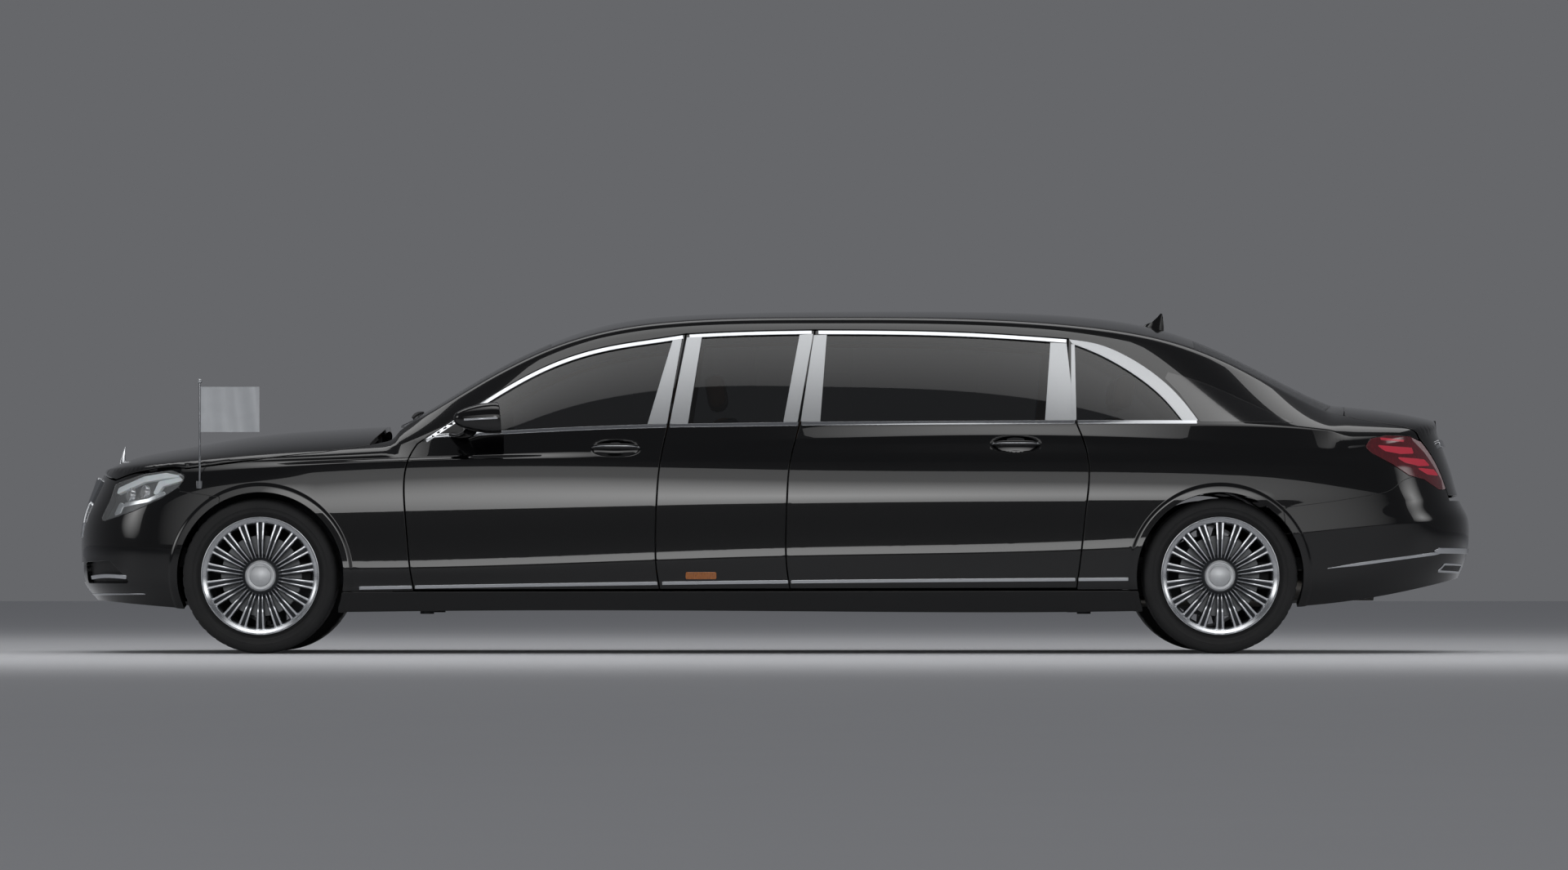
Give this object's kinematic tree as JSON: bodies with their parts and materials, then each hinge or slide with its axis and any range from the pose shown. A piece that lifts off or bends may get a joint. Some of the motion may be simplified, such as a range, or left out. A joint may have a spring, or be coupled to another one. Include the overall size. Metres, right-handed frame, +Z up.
{
  "type": "stretch limousine",
  "caption": "Long black limousine with a fixed middle section, hinged doors and lids, steered front wheels and free-turning wheels.",
  "frame": {"origin": "ground level at the middle of the length and width", "axes": "-X points forward, -Y to the car's left side, +Z up"},
  "size_m": [6.5023, 2.1572, 1.597],
  "materials": {
    "black_paint": "gloss",
    "tinted_glass": "gloss",
    "clear_lens": "gloss",
    "red_lens": "gloss",
    "amber_lens": "gloss",
    "chrome": "polished",
    "wheel_alloy": "satin",
    "tyre_rubber": "matte",
    "chassis_metal": "matte",
    "tan_leather": "satin",
    "dark_trim": "matte",
    "flag_cloth": "satin"
  },
  "bodies": {
    "body": {"mid_panels": "black_paint", "sills": "black_paint", "body_sides": "black_paint", "rear_deck": "black_paint", "arch_liners": "dark_trim", "side_markers": "amber_lens", "cowl": "dark_trim", "roof": "black_paint", "windscreen": "tinted_glass", "rear_window": "tinted_glass", "fixed_glass": "tinted_glass", "fenders": "black_paint", "headlamps": "clear_lens", "front_bumper": "black_paint", "grille": "chrome", "tail_lamps": "red_lens", "rear_bumper": "black_paint", "door_hinges": "chassis_metal", "lid_hinges": "chassis_metal", "underbody": "chassis_metal", "crash_beams": "chassis_metal", "engine": "chassis_metal", "front_arms": "chassis_metal", "rear_axle": "chassis_metal", "front_seats": "tan_leather", "rear_seats": "tan_leather", "facing_seats": "tan_leather", "dashboard": "dark_trim", "steering_wheel": "dark_trim", "partition": "dark_trim", "exhaust": "chassis_metal", "flag_staff": "chrome", "flag": "flag_cloth", "aerial": "black_paint"},
    "front_door_left": {"front_door_left": "black_paint", "front_glass_left": "tinted_glass", "front_fittings_left": "black_paint"},
    "front_door_right": {"front_door_right": "black_paint", "front_glass_right": "tinted_glass", "front_fittings_right": "black_paint"},
    "rear_door_left": {"rear_door_left": "black_paint", "rear_glass_left": "tinted_glass", "rear_fittings_left": "chrome"},
    "rear_door_right": {"rear_door_right": "black_paint", "rear_glass_right": "tinted_glass", "rear_fittings_right": "chrome"},
    "bonnet": {"bonnet": "black_paint"},
    "boot_lid": {"boot_lid": "black_paint"},
    "knuckle_left": {"knuckle_left": "chassis_metal"},
    "knuckle_right": {"knuckle_right": "chassis_metal"},
    "wheel_front_left": {"wheel_front_left": "wheel_alloy", "tyre_front_left": "tyre_rubber"},
    "wheel_front_right": {"wheel_front_right": "wheel_alloy", "tyre_front_right": "tyre_rubber"},
    "wheel_rear_left": {"wheel_rear_left": "wheel_alloy", "tyre_rear_left": "tyre_rubber"},
    "wheel_rear_right": {"wheel_rear_right": "wheel_alloy", "tyre_rear_right": "tyre_rubber"}
  },
  "joints": [
    {"name": "front_door_left_hinge", "type": "hinge", "parent": "body", "child": "front_door_left", "pos_m": [-1.5825, -0.9295, 0.66], "axis": [0, 0, -1], "range_deg": [0, 66]},
    {"name": "front_door_right_hinge", "type": "hinge", "parent": "body", "child": "front_door_right", "pos_m": [-1.5825, 0.9295, 0.66], "axis": [0, 0, 1], "range_deg": [0, 66]},
    {"name": "rear_door_left_hinge", "type": "hinge", "parent": "body", "child": "rear_door_left", "pos_m": [0.1715, -0.9295, 0.66], "axis": [0, 0, -1], "range_deg": [0, 66]},
    {"name": "rear_door_right_hinge", "type": "hinge", "parent": "body", "child": "rear_door_right", "pos_m": [0.1715, 0.9295, 0.66], "axis": [0, 0, 1], "range_deg": [0, 66]},
    {"name": "bonnet_hinge", "type": "hinge", "parent": "body", "child": "bonnet", "pos_m": [-1.8355, 0, 1.00756], "axis": [0, 1, 0], "range_deg": [0, 52]},
    {"name": "boot_lid_hinge", "type": "hinge", "parent": "body", "child": "boot_lid", "pos_m": [2.7145, 0, 1.1363], "axis": [0, -1, 0], "range_deg": [0, 80]},
    {"name": "steer_left", "type": "hinge", "parent": "body", "child": "knuckle_left", "pos_m": [-2.3675, -0.781, 0.358], "axis": [0, 0, 1], "range_deg": [-35, 35]},
    {"name": "steer_right", "type": "hinge", "parent": "body", "child": "knuckle_right", "pos_m": [-2.3675, 0.781, 0.358], "axis": [0, 0, 1], "range_deg": [-35, 35]},
    {"name": "wheel_front_left_spin", "type": "hinge", "parent": "knuckle_left", "child": "wheel_front_left", "pos_m": [-2.3675, -0.811, 0.358], "axis": [0, -1, 0], "continuous": true},
    {"name": "wheel_rear_left_spin", "type": "hinge", "parent": "body", "child": "wheel_rear_left", "pos_m": [2.0505, -0.811, 0.358], "axis": [0, -1, 0], "continuous": true},
    {"name": "wheel_front_right_spin", "type": "hinge", "parent": "knuckle_right", "child": "wheel_front_right", "pos_m": [-2.3675, 0.811, 0.358], "axis": [0, -1, 0], "continuous": true},
    {"name": "wheel_rear_right_spin", "type": "hinge", "parent": "body", "child": "wheel_rear_right", "pos_m": [2.0505, 0.811, 0.358], "axis": [0, -1, 0], "continuous": true}
  ],
  "couplings": [
    {"joint": "steer_right", "follows": "steer_left", "ratio": 1}
  ]
}
